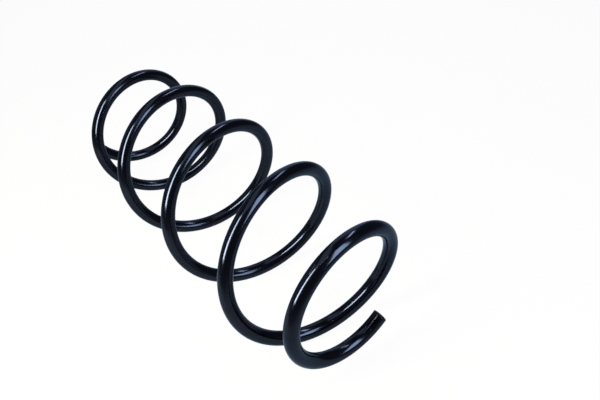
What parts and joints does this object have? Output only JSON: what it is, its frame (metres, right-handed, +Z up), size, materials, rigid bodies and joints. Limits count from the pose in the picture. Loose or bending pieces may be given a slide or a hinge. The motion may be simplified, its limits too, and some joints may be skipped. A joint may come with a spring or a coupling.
{
  "type": "suspension spring",
  "caption": "Open helical compression spring of round coated steel wire, drawn in at both end coils and wound almost flat at the lower one, to carry a car body on a suspension strut.",
  "frame": {"origin": "on the surface that the spring lies on, under the middle of its bounding box", "axes": "X is the spring's axis, with the lower end coil at +X and the upper end coil at -X; +Z is up as it lies on its side; +Y completes a right-handed frame"},
  "size_m": [0.4047, 0.1512, 0.1512],
  "materials": {
    "coating": "smooth glossy black powder coat with a faint blue tint"
  },
  "bodies": {
    "root": {"coil_spring": "coating"}
  },
  "joints": []
}
